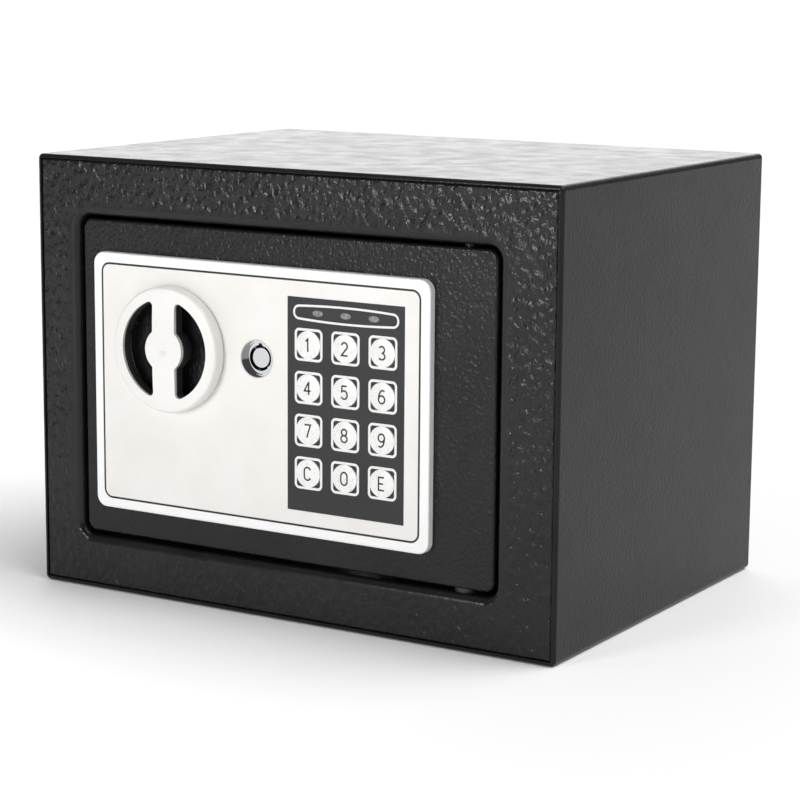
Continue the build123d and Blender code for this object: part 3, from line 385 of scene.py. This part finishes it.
def sleeve(name):
    """Plain printed battery sleeve: green body with a dark end."""
    look = Look(name, (0.05, 0.22, 0.09), 0.25, coat=0.5)
    split = look.tree.nodes.new("ShaderNodeSeparateXYZ")
    look.link(look.place, split.inputs["Vector"])
    low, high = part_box("batteries")
    height = look.spread(split.outputs["Z"], 0.0, 1.0, low.z, high.z)
    look.color(look.shade(height, (0.05, 0.22, 0.09), (0.02, 0.02, 0.022), 0.68, 0.69))
    look.roughness(look.spread(look.noise(300.0, detail=3.0), 0.2, 0.32))
    return look


def felt(name):
    """Needle felt: matted dark fibres with a soft sheen."""
    look = Look(name, (0.03, 0.03, 0.032), 0.95, sheen=0.35)
    fibres = look.noise(1400.0, detail=6.0, distortion=2.5)
    tufts = look.noise(180.0, detail=4.0)
    look.color(look.shade(fibres, (0.014, 0.014, 0.016), (0.075, 0.075, 0.08)))
    look.relief(look.math("ADD", fibres, look.math("MULTIPLY", tufts, 0.8)), 0.5 * MM, 0.9)
    return look


def span(node):
    """Middle, width and height of a CAD node."""
    low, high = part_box(node)
    return (low + high) / 2, high.x - low.x, high.z - low.z


nodes = frame["nodes"]
door_middle, door_w, door_h = span("door_plate")
facia_middle, facia_w, facia_h = span("facia")
frame_smooth = (
    nodes["front_frame"], door_middle, door_w + 2 * smooth_w, door_h + 2 * smooth_w,
    smooth_corner_r, smooth_fade
)
facia_field = (
    nodes["facia"], facia_middle, facia_w - 2 * line_inset - line_w, facia_h - 2 * line_inset - line_w,
    line_r - line_w / 2, line_w / 2
)

looks = {
    "black_steel": powder_coat("black_powder_coat", (0.012, 0.012, 0.0124), 1.25, 750.0, 0.08 * MM),
    "black_frame": powder_coat(
        "black_coarse_coat", (0.010, 0.010, 0.0103), 1.35, 430.0, 0.75 * MM, 1.4, frame_smooth
    ),
    "black_door": powder_coat("black_fine_coat", (0.012, 0.012, 0.0123), 1.32, 800.0, 0.30 * MM, 1.2),
    "zinc_steel": zinc("zinc_plate"),
    "bolt_steel": nickel("nickel_plate"),
    "lock_chrome": chrome("lock_chrome"),
    "silver_plastic": silver_paint("silver_paint", (0.86, 0.85, 0.83), (0.82, 0.80, 0.77)),
    "key_silver": key_paint("key_silver"),
    "black_plastic": moulded("black_moulding", (0.04, 0.04, 0.041)),
    "keypad_black": keypad_film("keypad_film"),
    "lens_grey": lens("lamp_lens"),
    "board_green": laminate("green_laminate"),
    "ribbon_white": ribbon("ribbon_film"),
    "coil_copper": winding("copper_winding"),
    "lead_red": moulded("lead_insulation", (0.38, 0.03, 0.03), 0.4),
    "reset_red": moulded("reset_red", (0.55, 0.025, 0.02), 0.3),
    "cell_jacket": sleeve("cell_sleeve"),
    "mat_felt": felt("mat_felt"),
}
facia_look = facia_paint(
    "facia_paint", (0.93, 0.93, 0.92), (0.86, 0.84, 0.815), (0.83, 0.805, 0.775), facia_field
)
white_ink = ink("white_ink", (0.92, 0.92, 0.91))
black_ink = ink("black_ink", (0.012, 0.012, 0.012), 0.45)

for row in record["subparts"]:
    node = nodes[row["node"]]
    look = facia_look if row["node"] == "facia" else looks[row["material_slot"]]
    material = look.material
    if not node.material_slots:
        node.data.materials.append(material)
    for material_slot in node.material_slots:
        material_slot.material = material

# ---------------------------------------------------------------- mesh helpers


def add_piece(name, mesh, look, body):
    """An object from a finished bmesh, in place in the row frame, riding on its body."""
    bmesh.ops.recalc_face_normals(mesh, faces=mesh.faces)
    data = bpy.data.meshes.new(name)
    mesh.to_mesh(data)
    mesh.free()
    data.materials.append(look.material)
    piece = bpy.data.objects.new(name, data)
    bpy.context.scene.collection.objects.link(piece)
    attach(piece, body)
    return piece


def rounded_outline(width, height, radius, bulge=0.0, steps=10):
    """Corner by corner points of a rounded rectangle whose long sides may swell in the middle."""
    points = []
    corners = ((1, 1, 0), (-1, 1, 90), (-1, -1, 180), (1, -1, 270))
    for side_x, side_z, start in corners:
        center_x = side_x * (width / 2 - radius)
        center_z = side_z * (height / 2 - radius)
        for step in range(steps + 1):
            angle = math.radians(start + 90 * step / steps)
            points.append((center_x + radius * math.cos(angle), center_z + radius * math.sin(angle)))
    return swollen(points, width / 2, bulge)


def swollen(points, half_width, bulge, steps=24):
    """The outline with its long straight stretches divided and pushed outwards by a shallow arc."""
    if not bulge:
        return points
    fine = []
    for (x0, z0), (x1, z1) in zip(points, points[1:] + points[:1]):
        count = steps if abs(x1 - x0) > half_width / 2 else 1
        fine += [(x0 + (x1 - x0) * i / count, z0 + (z1 - z0) * i / count) for i in range(count)]
    return [(x, z + math.copysign(bulge * (1 - (x / half_width) ** 2), z)) for x, z in fine]


def band(mesh, center, outer, inner, front, back):
    """A flat ring between two outlines of as many points, from its front face back to a lower plane."""
    rings = []
    for outline, y in ((outer, back), (outer, front), (inner, front), (inner, back)):
        rings.append([mesh.verts.new((center[0] + x, y, center[1] + z)) for x, z in outline])
    for a, b in zip(rings, rings[1:]):
        for i in range(len(a)):
            j = (i + 1) % len(a)
            mesh.faces.new((a[i], a[j], b[j], b[i]))


def middle(node):
    """The X and Z of a CAD node's middle."""
    low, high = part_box(node)
    return (low.x + high.x) / 2, (low.z + high.z) / 2


# ---------------------------------------------------------------- facia border line


def border_line():
    """Black paint in the groove round the facia."""
    mesh = bmesh.new()
    outer = rounded_outline(facia_w - 2 * line_inset, facia_h - 2 * line_inset, line_r)
    inner = rounded_outline(
        facia_w - 2 * (line_inset + line_w), facia_h - 2 * (line_inset + line_w), line_r - line_w
    )
    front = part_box("facia")[0].y + line_below
    band(mesh, middle("facia"), outer, inner, front, front + line_deep)
    add_piece("border_line", mesh, black_ink, "door")


border_line()

# ---------------------------------------------------------------- keypad print

panel_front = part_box("keypad_panel")[0].y


def key_outlines():
    """White rounded squares round the keys."""
    outer = rounded_outline(key_frame_w, key_frame_w, key_frame_r)
    inner_w = key_frame_w - 2 * key_frame_line
    inner = rounded_outline(inner_w, inner_w, key_frame_r - key_frame_line)
    mesh = bmesh.new()
    for name in key_bodies:
        band(mesh, middle(f"key_{name}"), outer, inner, panel_front - print_proud, panel_front + print_sunk)
    add_piece("key_outlines", mesh, white_ink, "door")


def lamp_window():
    """White outline round the three lamps, a little taller in the middle than at its ends."""
    mesh = bmesh.new()
    outer = rounded_outline(window_w, window_end_h, window_r, window_bulge)
    inner_w = window_w - 2 * window_line
    inner_h = window_end_h - 2 * window_line
    inner = rounded_outline(inner_w, inner_h, window_r - window_line, window_bulge)
    front = panel_front - print_proud
    band(mesh, middle("indicator_lenses"), outer, inner, front, panel_front + print_sunk)
    add_piece("lamp_window", mesh, white_ink, "door")


def arc(center_x, center_z, radius_x, radius_z, start, end):
    """Points along an upright ellipse, in half-widths and half-heights of a figure."""
    count = max(3, round(abs(end - start) / 12))
    angles = [math.radians(start + (end - start) * i / count) for i in range(count + 1)]
    return [(center_x + radius_x * math.cos(a), center_z + radius_z * math.sin(a)) for a in angles]


def turned(strokes):
    """Strokes turned half round."""
    return [[(-x, -z) for x, z in stroke] for stroke in strokes]


six = [arc(0, -0.4, 0.95, 0.6, 0, 360), arc(0.3, -0.4, 1.25, 1.4, 180, 62)]
figures = {
    "1": [[(-0.6, 0.55), (0.1, 1), (0.1, -1)]],
    "2": [arc(0, 0.42, 0.92, 0.58, 165, -25) + [(-0.95, -1), (1, -1)]],
    "3": [arc(-0.05, 0.5, 0.85, 0.5, 150, -90), arc(-0.05, -0.5, 0.98, 0.5, 90, -150)],
    "4": [[(0.4, -1), (0.4, 1)], [(0.4, 1), (-1, -0.4), (1, -0.4)]],
    "5": [[(0.8, 1), (-0.7, 1), (-0.8, 0.08)] + arc(-0.05, -0.36, 1.0, 0.64, 125, -150)],
    "6": six,
    "7": [[(-0.95, 1), (0.95, 1), (-0.2, -1)]],
    "8": [arc(0, 0.52, 0.82, 0.48, 0, 360), arc(0, -0.48, 0.98, 0.52, 0, 360)],
    "9": turned(six),
    "c": [arc(0, 0.42, 1, 0.58, 20, 180) + arc(0, -0.42, 1, 0.58, 180, 340)],
    "0": [arc(0, 0.35, 1, 0.65, 0, 180) + arc(0, -0.35, 1, 0.65, 180, 360) + [(1, 0.35)]],
    "e": [[(0.9, 1), (-0.8, 1), (-0.8, -1), (0.9, -1)], [(-0.8, 0.02), (0.65, 0.02)]],
}
key_bodies = list(figures)


def divided(points, step):
    """The stroke with every stretch cut to the step or less, so that it can follow a crown."""
    fine = [points[0]]
    for start, end in zip(points, points[1:]):
        count = math.ceil((end - start).length / step)
        fine += [start.lerp(end, i / count) for i in range(1, count + 1)]
    return fine


def stroke_sides(points, width):
    """Left and right edges of a stroke of even width, mitred at its corners."""
    sides = []
    for i, point in enumerate(points):
        before = (point - points[i - 1]).normalized() if i else None
        after = (points[i + 1] - point).normalized() if i + 1 < len(points) else None
        run = ((before or after) + (after or before)).normalized()
        across = Vector((-run.y, run.x))
        reach = width / 2 / max(sharpest_mitre, abs(run.dot(before or after)))
        sides.append((point + across * reach, point - across * reach))
    return sides


def key_figure(name):
    """A printed figure that follows the crown of its key cap."""
    low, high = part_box(f"key_{name}")
    x, z = middle(f"key_{name}")
    reach = (high.x - low.x) / 2
    mesh = bmesh.new()
    for stroke in figures[name]:
        points = [Vector((u * figure_half_w, v * figure_half_h)) for u, v in stroke]
        pairs = []
        for side_a, side_b in stroke_sides(divided(points, figure_step), figure_stroke):
            corners = []
            for side in (side_a, side_b):
                top = low.y + key_crown * side.length_squared / reach**2 - figure_proud
                corners.append(mesh.verts.new((x + side.x, top, z + side.y)))
                corners.append(mesh.verts.new((x + side.x, top + 2 * figure_proud, z + side.y)))
            pairs.append(corners)
        for a, b in zip(pairs, pairs[1:]):
            mesh.faces.new((a[0], a[2], b[2], b[0]))
            mesh.faces.new((a[0], b[0], b[1], a[1]))
            mesh.faces.new((a[2], a[3], b[3], b[2]))
    add_piece(f"figure_{name}", mesh, black_ink, f"button_{name}")


key_outlines()
lamp_window()
for key_name in key_bodies:
    key_figure(key_name)

# ---------------------------------------------------------------- felt mat


def closed_spline(curve, points):
    spline = curve.splines.new("POLY")
    spline.points.add(len(points) - 1)
    for place, (x, y) in zip(spline.points, points):
        place.co = (x, y, 0, 1)
    spline.use_cyclic_u = True


def felt_mat():
    """Felt cut to the safe's floor, with a hole round each anchor bolt."""
    low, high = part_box("floor_mat")
    size = high - low
    center = (low + high) / 2
    anchors = next(m for m in record["mounts"] if m["name"] == "base_anchor_holes")
    pitch = anchors["dims"]["spacing_x_mm"] * MM
    around_r = mat_hole_r + mat_edge
    curve = bpy.data.curves.new("felt_mat", "CURVE")
    curve.dimensions = "2D"
    curve.fill_mode = "BOTH"
    closed_spline(curve, rounded_outline(size.x - 2 * mat_edge, size.y - 2 * mat_edge, mat_corner_r))
    for side in (-1, 1):
        hole = [math.radians(10 * i) for i in range(36)]
        around = [
            (side * pitch / 2 + around_r * math.cos(a), -center.y + around_r * math.sin(a))
            for a in hole
        ]
        closed_spline(curve, around)
    curve.extrude = size.z / 2 - mat_edge
    curve.bevel_depth = mat_edge
    curve.bevel_resolution = 2
    shape = bpy.data.objects.new("felt_shape", curve)
    bpy.context.scene.collection.objects.link(shape)
    bpy.context.view_layer.update()
    data = bpy.data.meshes.new_from_object(shape.evaluated_get(bpy.context.evaluated_depsgraph_get()))
    bpy.data.objects.remove(shape)
    data.transform(Matrix.Translation(center))
    data.materials.clear()
    data.materials.append(looks["mat_felt"].material)
    mat = bpy.data.objects.new("felt_mat", data)
    bpy.context.scene.collection.objects.link(mat)
    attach(mat, "body")
    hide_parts("floor_mat")


felt_mat()

# ---------------------------------------------------------------- camera, floor and light


def make_camera():
    azimuth, down, roll = (math.radians(v) for v in (camera_azimuth, camera_down, camera_roll))
    ahead = Vector(
        (-math.sin(azimuth) * math.cos(down), math.cos(azimuth) * math.cos(down), -math.sin(down))
    )
    level_right = Vector((math.cos(azimuth), math.sin(azimuth), 0))
    level_up = level_right.cross(ahead)
    right = level_right * math.cos(roll) + level_up * math.sin(roll)
    up = level_up * math.cos(roll) - level_right * math.sin(roll)
    data = bpy.data.cameras.new("camera")
    data.lens = camera_lens
    data.sensor_width = camera_sensor
    data.clip_end = 100
    camera = bpy.data.objects.new("camera", data)
    turn = Matrix((right, up, -ahead)).transposed().to_4x4()
    camera.matrix_world = Matrix.Translation(camera_place) @ turn
    bpy.context.scene.collection.objects.link(camera)
    bpy.context.scene.camera = camera


def make_floor():
    """Pale studio floor, wide enough to reach the horizon."""
    mesh = bmesh.new()
    bmesh.ops.create_grid(mesh, x_segments=8, y_segments=8, size=floor_half)
    data = bpy.data.meshes.new("floor")
    mesh.to_mesh(data)
    mesh.free()
    look = Look("floor_paper", (0.93, 0.93, 0.93), 0.8)
    look.color(look.shade(look.noise(3.0, detail=3.0), (0.92, 0.92, 0.92), (0.94, 0.94, 0.94)))
    data.materials.append(look.material)
    floor = bpy.data.objects.new("floor", data)
    floor.location = (0, 0, cad_low.z - floor_drop)
    bpy.context.scene.collection.objects.link(floor)


def soft_box(name, place, aim, size, power):
    data = bpy.data.lights.new(name, "AREA")
    data.shape = "RECTANGLE"
    data.size, data.size_y = size
    data.energy = power
    light = bpy.data.objects.new(name, data)
    light.location = place
    light.rotation_euler = (Vector(aim) - Vector(place)).to_track_quat("-Z", "Y").to_euler()
    bpy.context.scene.collection.objects.link(light)


def make_world():
    """A plain dim room with a broad lit backdrop behind the object."""
    world = bpy.data.worlds.new("studio")
    world.use_nodes = True
    tree = world.node_tree
    toward = tree.nodes.new("ShaderNodeVectorMath")
    toward.operation = "DOT_PRODUCT"
    toward.inputs[1].default_value = Vector(backdrop_toward).normalized()
    fade = tree.nodes.new("ShaderNodeMapRange")
    fade.interpolation_type = "SMOOTHSTEP"
    fade.inputs["From Min"].default_value = math.cos(math.radians(backdrop_outer))
    fade.inputs["From Max"].default_value = math.cos(math.radians(backdrop_inner))
    fade.inputs["To Min"].default_value = room_light
    fade.inputs["To Max"].default_value = backdrop_light
    direction = tree.nodes.new("ShaderNodeTexCoord").outputs["Generated"]
    tree.links.new(direction, toward.inputs[0])
    tree.links.new(toward.outputs["Value"], fade.inputs["Value"])
    tree.links.new(fade.outputs["Result"], tree.nodes["Background"].inputs["Strength"])
    tree.nodes["Background"].inputs["Color"].default_value = (1.0, 1.0, 1.0, 1.0)
    bpy.context.scene.world = world
    bpy.context.scene.view_settings.view_transform = "Standard"


def sky_panel(power, spread_angle, tilt):
    """Even soft light from high on the right and a little behind."""
    data = bpy.data.lights.new("sky_panel", "SUN")
    data.energy = power
    data.angle = math.radians(spread_angle)
    light = bpy.data.objects.new("sky_panel", data)
    light.rotation_euler = Vector(tilt).to_track_quat("-Z", "Y").to_euler()
    bpy.context.scene.collection.objects.link(light)


make_camera()
make_floor()
make_world()
aim = (0, 0, cad_high.z / 2)
sky_panel(sky_power, sky_spread, sky_toward)
soft_box("front_box", front_box_place, aim, front_box_size, front_box_power)
